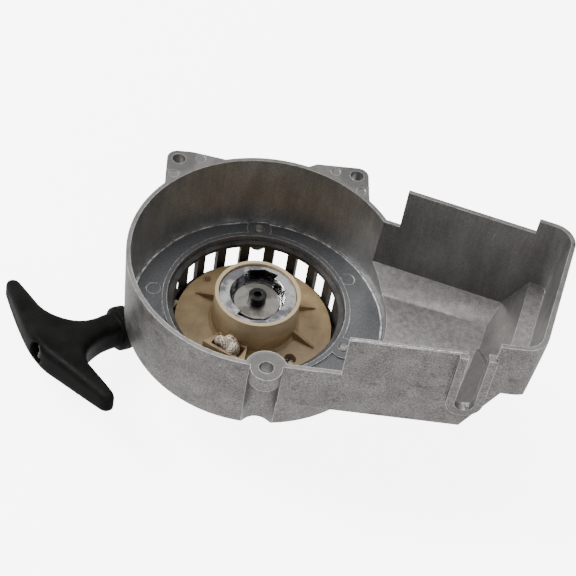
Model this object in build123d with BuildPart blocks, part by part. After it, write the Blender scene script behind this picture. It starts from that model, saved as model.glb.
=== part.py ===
"""Recoil starter of a small two-stroke engine.

A cast fan shroud (bell and duct extension) carries a dished starter case on three
screws. A rope pulley with a ratchet drive cup turns on a post in the case, a spiral
spring winds it back, and the rope leaves through a guide to a T handle.

Millimetres, +Z up (towards the engine). The origin is on the pulley axis, at the
starter case's outer bottom face. +X runs along the ear pair, +Y away from ear C.
"""
from build123d import *
from math import atan2, cos, degrees, radians, sin
import os

os.makedirs("parts", exist_ok=True)

# ---- driving dimensions -------------------------------------------------------------
# heights above the case's bottom face
floor_under = 25.0          # underside of the shroud floor, where the case bolts on
floor_top = 28.0            # upper face of the shroud floor
duct_floor = 34.0           # floor of the duct
shelf_top = 56.0            # shelf at the foot of the end wall
slope_top = 40.5            # where the back slope meets the back wall
ear_plane = 63.0            # mounting plane: ears and bell rim
duct_top = 82.4             # raised side walls of the duct
end_top = 89.0              # end wall and its corners

# shroud bell
wall = 1.7                  # casting wall
bell_x = 0.4                # bell centre, from the pulley axis
bell_y = -6.2
bell_r_floor = 51.5         # inside radius at the floor
bell_r_rim = 52.4           # inside radius at the rim
bell_round = 3.5            # rounded outer bottom edge
opening_r = 36.3            # opening in the shroud floor
band_width = 2.0            # raised band round the opening
band_rise = 0.8
lobe_r = 5.2                # the band's lobes round the case screws
pin_mark_r = 2.9            # shallow moulding-pin marks
pin_mark_depth = 0.3

# shroud duct, drawn in its own turned axes u (along) and v (across)
duct_turn = -17.5           # degrees, from +X
back_v = 33.0               # outer face of the back wall
slope_v = 21.5              # foot of the back slope
step_u = 45.8               # where the side walls rise to duct_top
end_step_u = 97.0           # where they rise to end_top
ramp_u = 90.8               # foot of the end ramp
crest_u = 101.5             # top of the end ramp
shelf_u = 108.2             # foot of the end wall, inside
end_u = 112.6               # outer face of the end wall at its top
front_start = (10.0, -60.1)     # two points of the front wall's outer face
front_far = (68.8, -62.7)
front_rise = 9.0            # the duct's lower front edge is bevelled by this much
front_bevel = 13.0          # over this width
corner_r = 9.0

# cable slot in the front wall
slot_x = 75.4
slot_width = 7.4
slot_bottom = 53.0
slot_lip = 3.2              # width of the raised lip round the slot
lip_stand = 1.8             # how far the lip stands out

# mounting ears
ear_pair_x = 36.4
ear_pair_y = 42.7
ear_c = (1.5, -60.8)
ear_hole_r = 2.75
ear_thick = 6.5
ear_boss_r = 6.0
ear_corner_r = 4.5
groove_r = 6.2              # screw clearance groove in the bell wall under each ear
groove_wall = 1.6

# starter case
case_r = 35.8               # outside radius of the dish
case_inner_r = 33.8
case_bottom_r = 28.6
case_flange_r = 39.5
case_flange = 3.0
case_floor = 2.2
well_r = 26.6               # spring well
well_top = 8.0              # seat of the spring cover
spigot_r = 36.15            # locating ring in the shroud opening
spigot_lip = 1.1
grille_count = 21
grille_width = 6.1
grille_low = 11.0
grille_high = 24.4
grille_r = 34.6             # the slots' cut: middle and depth, from the axis
grille_depth = 3.4
case_screw_r = 40.6
case_screw_angles = (90.0, 210.0, 330.0)
case_screw_d = 3.9
tapped_r = 2.0
clearance_r = 2.15
lug_r = 6.5
outlet_place = 5            # the slot left out, where the rope leaves
case_washer = 0.8
case_washer_r = 4.2
case_head_r = 3.6
case_head = 2.6

# centre post and its fittings
post_r = 5.0
post_foot_r = 8.0
post_top = 27.9
post_foot = 1.0             # lower end, pressed into the case
post_collar = 0.9
bush_r = 7.0
running = 0.05              # radial running clearance
face_gap = 0.3              # clearance between turning and fixed faces
washer_r = 9.7
washer_thick = 1.4
thrust_r = 8.6
thrust_thick = 0.5
head_r = 3.6
head_height = 4.0

# recoil spring, its cover and anchor
strip = 0.5                 # spring strip thickness
strip_low = 2.6
strip_high = 7.6
spring_in_r = 10.2
spring_turns = 9
spring_pitch = 1.55
cover_r = 31.6
cover_thick = 0.8
cover_bore_r = 9.9
cover_screw_r = 29.2
cover_screw_angle = 30.0
cover_head_r = 2.0
cover_shank_r = 1.25
cover_screw_length = 4.5
anchor_r = 25.2
anchor_angle = 20.0
anchor_pin_r = 1.2
rivet_r = 4.0               # pressed end of the post
arbor_bottom = 3.5          # lower end of the pulley's boss

# pulley and what turns with it
flange_r = 32.4
lower_flange_r = 31.2
pulley_bottom = 9.3
groove_bottom = 10.4
groove_top = 13.9
flange_top = 15.4
flange_root = 17.2          # the flange rises towards the hub
core_r = 18.0               # bottom of the rope groove
arbor_r = 9.4               # boss that the spring hooks on
hub_r = 17.6
hub_bore_r = 15.9
hub_top = 34.1
web_top = 24.0              # seat of the drive cup
cup_r = 15.7
cup_top = 33.2
cup_floor = 1.5
cup_inner_r = 11.2
cup_recess_r = 13.9
rib_angles = (152.0, 66.0, 22.0, -24.0)
pocket_angles = (219.0, 262.0)      # the knot pocket's two end walls
pocket_r = 26.2
pocket_top = 20.8
pocket_hollow_x = 20.3      # from the axis to the middle of the pocket
pocket_hollow_width = 5.9
pocket_hollow_length = 13.0
knot_radius = 20.3
knot_z = 19.6
knot_size = (2.8, 5.2, 3.3)     # half sizes: radial, tangential, upright
rib_thick = 1.2
cup_steps = (55.0, 235.0)
flange_hole = (15.4, -18.3)
flange_hole_r = 2.4

# rope and handle
rope_r = 1.5
wind_r = 28.0               # rope centre line where it leaves the full pulley
rope_z = 12.15
rope_pitch = 3.1
coil_half_turns = 6
coil_in_r = 20.1
lead_angle = 220.0          # the rope's way from the pulley to the guide, degrees from +X
pull_angle = 211.0          # direction of pull beyond the guide, in plan
pull_rise = 10.0            # and how much it rises, degrees
bend_at = 40.0              # where the rope turns, along it from the pulley
outlet_r = 5.2              # rope outlet tube of the case
seat_r = 8.0                # the handle's seat at its end
seat_thick = 4.5
lead_bend_r = 14.0          # the rope turns gently in the guide
seat_face = 3.2             # end of the seat, along the pull from the rope's bend
lead_start = 18.0           # the coil turns clear of the guide's rope
guide_r = 3.2
guide_bore_r = 2.0
guide_flange_r = 5.0
guide_flange = 1.2
guide_length = 4.2
guide_mouth_r = 3.0
handle_gap = 0.4
collar_r = 9.1
collar_len = 5.0
neck_r = 6.2
neck_end_r = 5.4
bar_reach = 40.0            # from the rope's bend to the middle of the bar
bar_half = 40.0
bar_sweep = 6.0             # the bar's ends are swept back towards the starter
bar_r = 6.8
bar_tip_r = 4.6
bar_thick = 12.4
bar_edge = 3.8              # rounding of the bar's long edges
bar_roll = 13.5             # how the grip lies, turned about the rope
knot_r = 3.3
knot_recess_r = 4.3
knot_recess = 8.5

# ---- derived directions ---------------------------------------------------------------
lead = Vector(cos(radians(lead_angle)), sin(radians(lead_angle)), 0)
leave = Vector(lead.Y, -lead.X, 0) * wind_r + Vector(0, 0, rope_z)
bend = leave + lead * bend_at
pull_level = Vector(cos(radians(pull_angle)), sin(radians(pull_angle)), 0)
pull = pull_level * cos(radians(pull_rise)) + Vector(0, 0, sin(radians(pull_rise)))
level_across = Vector(-pull_level.Y, pull_level.X, 0)
grip_across = level_across * cos(radians(bar_roll)) + pull.cross(level_across) * sin(radians(bar_roll))
grip_up = pull.cross(grip_across)
bell_axis = Axis((bell_x, bell_y, 0), (0, 0, 1))
bell_section = Plane(origin=(bell_x, bell_y, 0), x_dir=(1, 0, 0), z_dir=(0, -1, 0))
ears = ((-ear_pair_x, ear_pair_y), (ear_pair_x, ear_pair_y), ear_c)
duct_plane = Plane.XY.rotated((0, 0, duct_turn))
duct_section = Plane(origin=(0, 0, 0), x_dir=duct_plane.x_dir, z_dir=-duct_plane.y_dir)
front_slope = (front_far[1] - front_start[1]) / (front_far[0] - front_start[0])


def along_lead(distance):
    """Plane across the rope inside the case, at a distance from where it leaves the pulley."""
    return Plane(origin=leave + lead * distance, x_dir=(-lead.Y, lead.X, 0), z_dir=lead)


def along_pull(distance):
    """Plane across the pull, at a distance from the rope's bend, rolled as the grip lies."""
    return Plane(origin=bend + pull * distance, x_dir=grip_across, z_dir=pull)


def duct_point(u, v):
    """A point of the duct's own axes as X and Y of the object."""
    turn = radians(duct_turn)
    return (u * cos(turn) - v * sin(turn), u * sin(turn) + v * cos(turn))


def front_y(x, inset=0.0):
    """Y of the front wall's outer face at x, moved inwards by inset."""
    return front_start[1] + (x - front_start[0]) * front_slope + inset


def front_x(u):
    """X on the front wall's outer face at a distance u along the duct."""
    turn = radians(duct_turn)
    return (u - sin(turn) * front_y(0.0)) / (cos(turn) + sin(turn) * front_slope)


def front_plane(x):
    """Plane on the front wall's outer face at x: its x along the wall, its y up, facing out."""
    along = Vector(1, front_slope, 0).normalized()
    return Plane(origin=(x, front_y(x), 0), x_dir=along, z_dir=along.cross(Vector(0, 0, 1)))


def polar(radius, angle):
    """X and Y at a radius and an angle in degrees."""
    return (radius * cos(radians(angle)), radius * sin(radians(angle)))


def finish(item, name):
    """Label a finished piece and write its STEP file."""
    item.label = name
    export_step(item, f"parts/{name}.step")


# ---- shroud housing: duct blanks ------------------------------------------------------
def duct_plan(inset):
    """Plan outline of the duct, from inside the bell round the end wall."""
    corner_x = front_x(end_u - inset)
    return [
        (2.0, -30.0),
        (2.0, front_y(2.0, inset)),
        (corner_x, front_y(corner_x, inset)),
        duct_point(end_u - inset, back_v - inset),
        duct_point(18.0, back_v - inset),
    ]


def duct_profile(drop):
    """Section of the duct along u and Z; drop is the wall taken below the inner faces."""
    shift = 0.63 * drop
    return [
        (-30.0, duct_floor - drop),
        (ramp_u + shift, duct_floor - drop),
        (crest_u + shift, shelf_top - drop),
        (shelf_u + drop, shelf_top - drop),
        (end_u - wall + drop, end_top),
        (end_u - wall + drop, end_top + 10),
        (-30.0, end_top + 10),
    ]


def front_bevel_profile(drop):
    """The duct's lower line along the front wall, raised by the bevel."""
    shift = 0.63 * drop
    start = front_x(0.0)
    low = duct_floor - drop + front_rise
    high = shelf_top - drop + front_rise
    return [
        (-40.0, low),
        (front_x(ramp_u + shift) - start, low),
        (front_x(crest_u + shift) - start, high),
        (160.0, high),
        (160.0, 320.0),
        (-40.0, 320.0),
    ]


def duct_blank(inset, drop, low, top):
    """Solid block of the duct: its plan, its section and the bevels at front and back."""
    with BuildPart() as blank:
        with BuildSketch(Plane.XY.offset(low)):
            with BuildLine():
                Polyline(*duct_plan(inset), close=True)
            make_face()
        extrude(amount=top - low)
        upright = blank.edges().filter_by(Axis.Z)
        far = upright.sort_by(Axis(origin=(0, 0, 0), direction=duct_plane.x_dir))[-2:]
        fillet(far, corner_r - inset)
        with BuildSketch(duct_section):
            with BuildLine():
                Polyline(*duct_profile(drop), close=True)
            make_face()
        extrude(amount=150, both=True, mode=Mode.INTERSECT)
        with BuildSketch(duct_plane_across):
            with BuildLine():
                Polyline(
                    (slope_v, duct_floor - drop),
                    (back_v, slope_top - drop),
                    (back_v, low - 5),
                    (slope_v, low - 5),
                    close=True,
                )
            make_face()
        extrude(amount=130, mode=Mode.SUBTRACT)
        with BuildSketch(front_plane(front_x(0.0))):
            with BuildLine():
                Polyline(*front_bevel_profile(drop), close=True)
            make_face()
        extrude(amount=200, dir=front_inward, mode=Mode.INTERSECT)
    return blank.part


duct_plane_across = Plane(origin=(0, 0, 0), x_dir=duct_plane.y_dir, z_dir=duct_plane.x_dir)
front_inward = -front_plane(0.0).z_dir - Vector(0, 0, front_rise / front_bevel)

with BuildPart() as duct_outer:
    add(duct_blank(0.0, wall, floor_under, end_top))
    with BuildSketch(duct_plane.offset(ear_plane)):
        with Locations((step_u - 100, 0)):
            Rectangle(200, 300)
    extrude(amount=60, mode=Mode.SUBTRACT)
    with BuildSketch(duct_plane.offset(duct_top)):
        with Locations((end_step_u - 100, 0)):
            Rectangle(200, 300)
    extrude(amount=60, mode=Mode.SUBTRACT)

with BuildPart() as duct_inner:
    add(duct_blank(wall, 0.0, floor_top, end_top + 5))

# ---- shroud housing: bell blanks ------------------------------------------------------
with BuildPart() as bell_outer:
    with BuildSketch(bell_section):
        with BuildLine():
            Polyline(
                (0, floor_under),
                (bell_r_floor + wall, floor_under),
                (bell_r_rim + wall, ear_plane),
                (0, ear_plane),
                close=True,
            )
        make_face()
    revolve(axis=bell_axis)
    fillet(bell_outer.edges().sort_by(Axis.Z)[0], bell_round)

with BuildPart() as bell_inner:
    with BuildSketch(bell_section):
        with BuildLine():
            Polyline(
                (0, floor_top),
                (bell_r_floor, floor_top),
                (bell_r_rim + 0.1, ear_plane + 5),
                (0, ear_plane + 5),
                close=True,
            )
        make_face()
    revolve(axis=bell_axis)

with BuildPart() as groove_walls:
    with BuildSketch(Plane.XY.offset(floor_under)):
        with Locations(*ears):
            Circle(groove_r + groove_wall)
    extrude(amount=ear_plane - floor_under)
    add(bell_outer.part, mode=Mode.INTERSECT)


# ---- shroud housing ---------------------------------------------------------------------
def upright_slot(width, bottom, top):
    """Round-bottomed upright slot shape on the front wall's outer face."""
    with BuildSketch(front_plane(slot_x)) as shape:
        with Locations((0, (bottom + width / 2 + top) / 2)):
            Rectangle(width, top - bottom - width / 2)
        with Locations((0, bottom + width / 2)):
            Circle(width / 2)
    return shape.sketch


def ear_outline(side, flat_end, blend_end):
    """Plan of a square-cornered ear: side is -1 or 1, the ends lie along the bell's rim."""
    reach_x = ear_pair_x + 4.9
    reach_y = ear_pair_y + 4.7
    return [
        (side * 20.0, 10.0),
        (side * reach_x, 26.0),
        (side * reach_x, reach_y),
        (side * flat_end, reach_y),
        (side * blend_end, 44.6),
    ]


with BuildPart() as ear_plates:
    with BuildSketch(Plane.XY.offset(ear_plane - ear_thick)):
        for outline in (ear_outline(-1, 31.0, 16.0), ear_outline(1, 20.0, 15.0)):
            with BuildLine():
                Polyline(*outline, close=True)
            make_face()
        with Locations(ear_c):
            Circle(ear_boss_r)
    extrude(amount=ear_thick)
    fillet(ear_plates.edges().filter_by(Axis.Z).filter_by(
        lambda edge: abs(edge.center().X) > ear_pair_x and edge.center().Y > ear_pair_y), ear_corner_r)

with BuildPart() as shroud_housing:
    add(bell_outer.part)
    add(duct_outer.part)
    add(ear_plates.part)
    # raised lip round the cable slot
    lip_width = slot_width + 2 * slot_lip
    add(extrude(upright_slot(lip_width, slot_bottom - slot_lip, duct_top), lip_stand, mode=Mode.PRIVATE))
    # the hollow inside
    add(bell_inner.part, mode=Mode.SUBTRACT)
    add(duct_inner.part, mode=Mode.SUBTRACT)
    add(groove_walls.part)
    with BuildSketch(Plane.XY.offset(floor_under - 1)):
        with Locations(*ears):
            Circle(groove_r)
    extrude(amount=ear_plane - ear_thick - floor_under + 1, mode=Mode.SUBTRACT)
    with BuildSketch(Plane.XY.offset(ear_plane + 1)):
        with Locations(*ears):
            Circle(ear_hole_r)
    extrude(amount=-ear_thick - 2, mode=Mode.SUBTRACT)
    # raised band with lobes, opening and tapped holes
    with BuildSketch(Plane.XY.offset(floor_top)):
        Circle(opening_r + band_width)
        with PolarLocations(case_screw_r, 3, start_angle=case_screw_angles[0]):
            Circle(lobe_r)
    extrude(amount=band_rise)
    with BuildSketch(Plane.XY.offset(floor_under - 1)):
        Circle(opening_r)
        with PolarLocations(case_screw_r, 3, start_angle=case_screw_angles[0]):
            Circle(tapped_r)
    extrude(amount=10, mode=Mode.SUBTRACT)
    # shallow moulding-pin marks in the floor and the ears
    with BuildSketch(Plane.XY.offset(floor_top)):
        with Locations((-42.0, 2.8), (37.6, 17.2), (-20.5, -44.0), (22.0, -44.0)):
            Circle(pin_mark_r)
    extrude(amount=-pin_mark_depth, mode=Mode.SUBTRACT)
    with BuildSketch(Plane.XY.offset(ear_plane)):
        with Locations((-38.0, 34.0), (-27.6, 44.0), (27.6, 44.0), (38.0, 34.0)):
            Circle(2.0)
    extrude(amount=-pin_mark_depth, mode=Mode.SUBTRACT)
    # cable slot through wall and lip
    slot_cut = extrude(upright_slot(slot_width, slot_bottom, duct_top + 5), 8, both=True, mode=Mode.PRIVATE)
    add(slot_cut, mode=Mode.SUBTRACT)
finish(shroud_housing.part, "shroud_housing")

# ---- starter case -----------------------------------------------------------------------
slot_angles = [
    case_screw_angles[0] + 360.0 / grille_count * place
    for place in range(grille_count)
    if place != outlet_place
]

with BuildPart() as starter_case:
    with BuildSketch(Plane.XZ):
        with BuildLine():
            Polyline(
                (0, 0),
                (case_bottom_r, 0),
                (case_r, 8.4),
                (case_r, floor_under - case_flange),
                (case_flange_r, floor_under - case_flange),
                (case_flange_r, floor_under),
                (spigot_r, floor_under),
                (spigot_r, floor_under + spigot_lip),
                (0, floor_under + spigot_lip),
                close=True,
            )
        make_face()
    revolve(axis=Axis.Z)
    # screw lugs under the shroud floor
    with BuildSketch(Plane.XY.offset(floor_under - case_flange)):
        with PolarLocations(case_screw_r, 3, start_angle=case_screw_angles[0]):
            Circle(lug_r)
    extrude(amount=case_flange)
    # cooling slots round the side wall, except where the rope leaves
    with BuildSketch(Plane.XY.offset(grille_low)):
        for angle in slot_angles:
            with Locations(Location((*polar(grille_r, angle), 0), (0, 0, angle))):
                Rectangle(grille_depth, grille_width)
    extrude(amount=grille_high - grille_low, mode=Mode.SUBTRACT)
    # rope outlet tube and the seat of the handle at its end
    with BuildSketch(along_lead(12)):
        Circle(outlet_r)
    extrude(amount=bend_at - 12)
    with BuildSketch(along_pull(seat_face)):
        Circle(seat_r)
    extrude(amount=-seat_thick)
    # inside of the dish, spring well and seat of the post
    with BuildSketch(Plane.XZ):
        with BuildLine():
            Polyline(
                (0, floor_under + 5),
                (case_inner_r, floor_under + 5),
                (case_inner_r, 10.5),
                (cover_r + 0.3, well_top),
                (well_r, well_top),
                (well_r, case_floor),
                (0, case_floor),
                close=True,
            )
        make_face()
    revolve(axis=Axis.Z, mode=Mode.SUBTRACT)
    with BuildSketch(Plane.XY.offset(post_foot)):
        Circle(rivet_r)
    extrude(amount=case_floor, mode=Mode.SUBTRACT)
    # bore of the rope outlet and the seat of its guide
    with BuildSketch(along_lead(10)):
        Circle(guide_mouth_r)
    extrude(amount=bend_at - 9, mode=Mode.SUBTRACT)
    with BuildSketch(along_pull(seat_face + 1)):
        Circle(guide_r)
    extrude(amount=-1 - guide_length, mode=Mode.SUBTRACT)
    with BuildSketch(along_pull(seat_face + 1)):
        Circle(guide_flange_r)
    extrude(amount=-1 - guide_flange, mode=Mode.SUBTRACT)
    # screw holes: case to shroud, spring cover and spring anchor
    with BuildSketch(Plane.XY.offset(floor_under - case_flange - 1)):
        with PolarLocations(case_screw_r, 3, start_angle=case_screw_angles[0]):
            Circle(clearance_r)
    extrude(amount=case_flange + 2, mode=Mode.SUBTRACT)
    with BuildSketch(Plane.XY.offset(well_top)):
        with PolarLocations(cover_screw_r, 3, start_angle=cover_screw_angle):
            Circle(cover_shank_r)
    extrude(amount=-cover_screw_length, mode=Mode.SUBTRACT)
    with BuildSketch(Plane.XY.offset(case_floor)):
        with Locations(polar(anchor_r, anchor_angle)):
            Circle(anchor_pin_r)
    extrude(amount=-1.2, mode=Mode.SUBTRACT)
finish(starter_case.part, "starter_case")

# ---- screws and washers that join case and shroud -----------------------------------------
case_seat = floor_under - case_flange - case_washer

with BuildPart() as case_washers:
    with BuildSketch(Plane.XY.offset(case_seat)):
        with PolarLocations(case_screw_r, 3, start_angle=case_screw_angles[0]):
            Circle(case_washer_r)
            Circle(clearance_r, mode=Mode.SUBTRACT)
    extrude(amount=case_washer)
finish(case_washers.part, "case_washers")

with BuildPart() as case_screws:
    with BuildSketch(Plane.XY.offset(case_seat)):
        with PolarLocations(case_screw_r, 3, start_angle=case_screw_angles[0]):
            Circle(case_head_r)
    extrude(amount=-case_head)
    fillet(case_screws.faces().group_by(Axis.Z)[0].edges(), 0.9)
    with BuildSketch(Plane.XY.offset(case_seat)):
        with PolarLocations(case_screw_r, 3, start_angle=case_screw_angles[0]):
            Circle(case_screw_d / 2)
    extrude(amount=floor_top + 1.4 - case_seat)
    chamfer(case_screws.faces().group_by(Axis.Z)[-1].edges(), 0.5)
    with BuildSketch(Plane.XY.offset(case_seat - case_head)):
        with PolarLocations(case_screw_r, 3, start_angle=case_screw_angles[0]):
            Rectangle(4.4, 0.9)
            Rectangle(0.9, 4.4)
    extrude(amount=1.4, mode=Mode.SUBTRACT)
finish(case_screws.part, "case_screws")

# ---- centre post, washers and screw -------------------------------------------------------
with BuildPart() as centre_post:
    with BuildSketch(Plane.XZ):
        with BuildLine():
            Polyline(
                (0, post_foot),
                (rivet_r, post_foot),
                (rivet_r, case_floor),
                (post_foot_r, case_floor),
                (post_foot_r, case_floor + post_collar),
                (post_r, case_floor + post_collar),
                (post_r, post_top),
                (0, post_top),
                close=True,
            )
        make_face()
    revolve(axis=Axis.Z)
    with BuildSketch(Plane.XY.offset(post_top)):
        Circle(tapped_r)
    extrude(amount=-14, mode=Mode.SUBTRACT)
finish(centre_post.part, "centre_post")

with BuildPart() as thrust_washer:
    with BuildSketch(Plane.XY.offset(post_top - thrust_thick)):
        Circle(thrust_r)
        Circle(post_r + running, mode=Mode.SUBTRACT)
    extrude(amount=thrust_thick)
finish(thrust_washer.part, "thrust_washer")

with BuildPart() as retaining_washer:
    with BuildSketch(Plane.XY.offset(post_top)):
        Circle(washer_r)
        Circle(tapped_r + 0.2, mode=Mode.SUBTRACT)
    extrude(amount=washer_thick)
    fillet(retaining_washer.faces().sort_by(Axis.Z)[-1].edges().sort_by(SortBy.RADIUS)[-1], 0.5)
finish(retaining_washer.part, "retaining_washer")

with BuildPart() as centre_screw:
    with BuildSketch(Plane.XY.offset(post_top + washer_thick)):
        Circle(head_r)
    extrude(amount=head_height)
    fillet(centre_screw.faces().sort_by(Axis.Z)[-1].edges(), 0.5)
    with BuildSketch(Plane.XY.offset(post_top + washer_thick + head_height)):
        RegularPolygon(1.75, 6)
    extrude(amount=-2.2, mode=Mode.SUBTRACT)
    with BuildSketch(Plane.XY.offset(post_top + washer_thick)):
        Circle(case_screw_d / 2)
    extrude(amount=-12)
finish(centre_screw.part, "centre_screw")

# ---- recoil spring, its anchor and its cover ---------------------------------------------
with BuildPart() as spring_anchor:
    with BuildSketch(Plane.XY.offset(case_floor - 1.2)):
        with Locations(polar(anchor_r, anchor_angle)):
            Circle(anchor_pin_r)
    extrude(amount=well_top - 0.3 - case_floor + 1.2)
finish(spring_anchor.part, "spring_anchor_pin")

with BuildPart() as recoil_spring:
    with BuildSketch(Plane.XY.offset(strip_low)):
        with BuildLine():
            for half in range(2 * spring_turns):
                radius = spring_in_r + spring_pitch / 2 * half
                middle = 0.0 if half % 2 == 0 else -spring_pitch / 2
                CenterArc((middle, 0), radius, 180.0 * (half % 2), 180.0)
        trace(line_width=strip)
    extrude(amount=strip_high - strip_low)
finish(recoil_spring.part, "recoil_spring")

with BuildPart() as spring_cover:
    with BuildSketch(Plane.XY.offset(well_top)):
        Circle(cover_r)
        Circle(cover_bore_r, mode=Mode.SUBTRACT)
    extrude(amount=cover_thick)
    with Locations(Plane.XY.offset(well_top + cover_thick)):
        with PolarLocations(cover_screw_r, 3, start_angle=cover_screw_angle):
            CounterSinkHole(cover_shank_r + 0.1, cover_head_r, cover_thick + 1, 90)
finish(spring_cover.part, "spring_cover")

with BuildPart() as cover_screws:
    with BuildSketch(Plane.XY.offset(well_top + cover_thick)):
        with PolarLocations(cover_screw_r, 3, start_angle=cover_screw_angle):
            Circle(cover_head_r - 0.15)
    extrude(amount=-cover_thick, taper=42)
    with BuildSketch(Plane.XY.offset(well_top + cover_thick)):
        with PolarLocations(cover_screw_r, 3, start_angle=cover_screw_angle):
            Circle(cover_shank_r - 0.05)
    extrude(amount=-cover_thick - cover_screw_length + 0.4)
finish(cover_screws.part, "spring_cover_screws")

# ---- rope pulley --------------------------------------------------------------------------
with BuildPart() as pulley:
    with BuildSketch(Plane.XZ):
        with BuildLine():
            Polyline(
                (bush_r, arbor_bottom),
                (arbor_r, arbor_bottom),
                (arbor_r, pulley_bottom),
                (lower_flange_r, pulley_bottom),
                (lower_flange_r, groove_bottom),
                (core_r, groove_bottom),
                (core_r, groove_top),
                (flange_r, groove_top),
                (flange_r, flange_top),
                (hub_r + 1.2, flange_root),
                (hub_r, flange_root + 1.2),
                (hub_r - 0.2, hub_top),
                (hub_bore_r, hub_top),
                (hub_bore_r, web_top),
                (bush_r, web_top),
                close=True,
            )
        make_face()
    revolve(axis=Axis.Z)
    # ribs between flange and hub
    for angle in rib_angles:
        turn = radians(angle)
        rib_plane = Plane(origin=(0, 0, 0), x_dir=(cos(turn), sin(turn), 0), z_dir=(sin(turn), -cos(turn), 0))
        with BuildSketch(rib_plane):
            with BuildLine():
                Polyline((hub_r - 0.6, groove_top + 1), (27.5, groove_top + 1), (27.5, 16.6),
                         (hub_r - 0.6, 21.5), close=True)
            make_face()
        extrude(amount=rib_thick / 2, both=True)
    # knot pocket: an outer wall, two end walls and the hole down to the groove
    with BuildSketch(Plane.XY.offset(groove_top + 0.6)):
        with BuildLine():
            Polyline(
                polar(hub_r - 0.6, pocket_angles[0]),
                polar(pocket_r, pocket_angles[0]),
                polar(pocket_r, pocket_angles[1]),
                polar(hub_r - 0.6, pocket_angles[1]),
                close=True,
            )
        make_face()
    extrude(amount=pocket_top - groove_top - 0.6)
    pocket_middle = sum(pocket_angles) / 2
    with BuildSketch(Plane.XY.rotated((0, 0, pocket_middle)).offset(flange_root - 1.0)):
        with Locations((pocket_hollow_x, 0)):
            Rectangle(pocket_hollow_width, pocket_hollow_length)
    extrude(amount=10, mode=Mode.SUBTRACT)
    with BuildSketch(Plane.XY.offset(groove_top - 1)):
        with Locations(polar(knot_radius, pocket_middle)):
            Circle(rope_r + 0.3)
    extrude(amount=6, mode=Mode.SUBTRACT)
    with BuildSketch(Plane.XY.offset(groove_top - 1)):
        with Locations(flange_hole):
            Circle(flange_hole_r)
    extrude(amount=6, mode=Mode.SUBTRACT)
    # the web is cored out from below
    with BuildSketch(Plane.XY.offset(pulley_bottom)):
        Circle(core_r - 2.0)
        Circle(arbor_r + 1.4, mode=Mode.SUBTRACT)
    extrude(amount=web_top - 2.2 - pulley_bottom, mode=Mode.SUBTRACT)
finish(pulley.part, "rope_pulley")

with BuildPart() as pulley_bush:
    with BuildSketch(Plane.XY.offset(arbor_bottom)):
        Circle(bush_r)
        Circle(post_r + running, mode=Mode.SUBTRACT)
    extrude(amount=post_top - thrust_thick - face_gap - arbor_bottom)
finish(pulley_bush.part, "pulley_bush")

with BuildPart() as drive_cup:
    with BuildSketch(Plane.XY.offset(web_top)):
        Circle(cup_r)
        Circle(bush_r + 0.2, mode=Mode.SUBTRACT)
    extrude(amount=cup_floor)
    with BuildSketch(Plane.XY.offset(web_top + cup_floor)):
        Circle(cup_r)
        Circle(cup_inner_r, mode=Mode.SUBTRACT)
        # two ratchet recesses: square step at one end, gentle ramp at the other
        for start in cup_steps:
            with BuildLine():
                Polyline(
                    polar(cup_inner_r - 1, start),
                    polar(cup_recess_r, start),
                    polar(cup_recess_r, start + 25),
                    polar(cup_recess_r - 0.4, start + 50),
                    polar(cup_inner_r, start + 80),
                    (0, 0),
                    close=True,
                )
            make_face(mode=Mode.SUBTRACT)
    extrude(amount=cup_top - web_top - cup_floor)
finish(drive_cup.part, "drive_cup")

# ---- rope ---------------------------------------------------------------------------------
with BuildPart() as rope_coil:
    with BuildLine(Plane.XY.offset(rope_z)) as coil_line:
        for half in range(coil_half_turns):
            radius = coil_in_r + rope_pitch / 2 * half
            middle = 0.0 if half % 2 == 0 else -rope_pitch / 2
            CenterArc((middle, 0), radius, 180.0 * (half % 2), 180.0)
    with BuildSketch(Plane(origin=coil_line.line @ 0, z_dir=coil_line.line % 0)):
        Circle(rope_r)
    sweep()
finish(rope_coil.part, "rope_coil")

with BuildPart() as rope_knot:
    Sphere(1.0)
    scale(by=knot_size)
knot_place = Location((*polar(knot_radius, pocket_middle), knot_z), (0, 0, pocket_middle))
finish(rope_knot.part.moved(knot_place), "rope_end_knot")

# the rope's stretch from the pulley through the guide, turning at the bend
lead_turn = Vector(*(bend + pull * seat_face))
with BuildPart() as rope_lead:
    with BuildLine() as lead_line:
        FilletPolyline(leave + lead * lead_start, bend, lead_turn, radius=lead_bend_r)
    with BuildSketch(along_lead(lead_start)):
        Circle(rope_r)
    sweep(path=lead_line.line)
finish(rope_lead.part, "rope_lead")

with BuildPart() as rope_guide:
    with BuildSketch(along_pull(seat_face)):
        Circle(guide_flange_r)
    extrude(amount=-guide_flange)
    with BuildSketch(along_pull(seat_face)):
        Circle(guide_r)
    extrude(amount=-guide_length)
    with BuildSketch(along_pull(seat_face + 1)):
        Circle(guide_bore_r)
    extrude(amount=-guide_length - 5, mode=Mode.SUBTRACT)
finish(rope_guide.part, "rope_guide")

# ---- handle -------------------------------------------------------------------------------
handle_face = seat_face + handle_gap
recess_floor = bar_reach + bar_r - knot_recess
grip_plane = Plane(origin=bend - grip_up * (bar_thick / 2), x_dir=pull, z_dir=grip_up)
neck_start = handle_face + collar_len - 1


def grip_outline(side):
    """Half of the T in plan, from the neck to the tip of one arm: (along pull, across)."""
    tip_x = bar_reach - bar_sweep
    return [
        (neck_start, side * neck_r),
        (bar_reach - bar_r - 0.5, side * neck_end_r),
        (tip_x - bar_tip_r, side * (bar_half + bar_tip_r)),
        (tip_x + bar_tip_r, side * (bar_half + bar_tip_r)),
    ]


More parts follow.
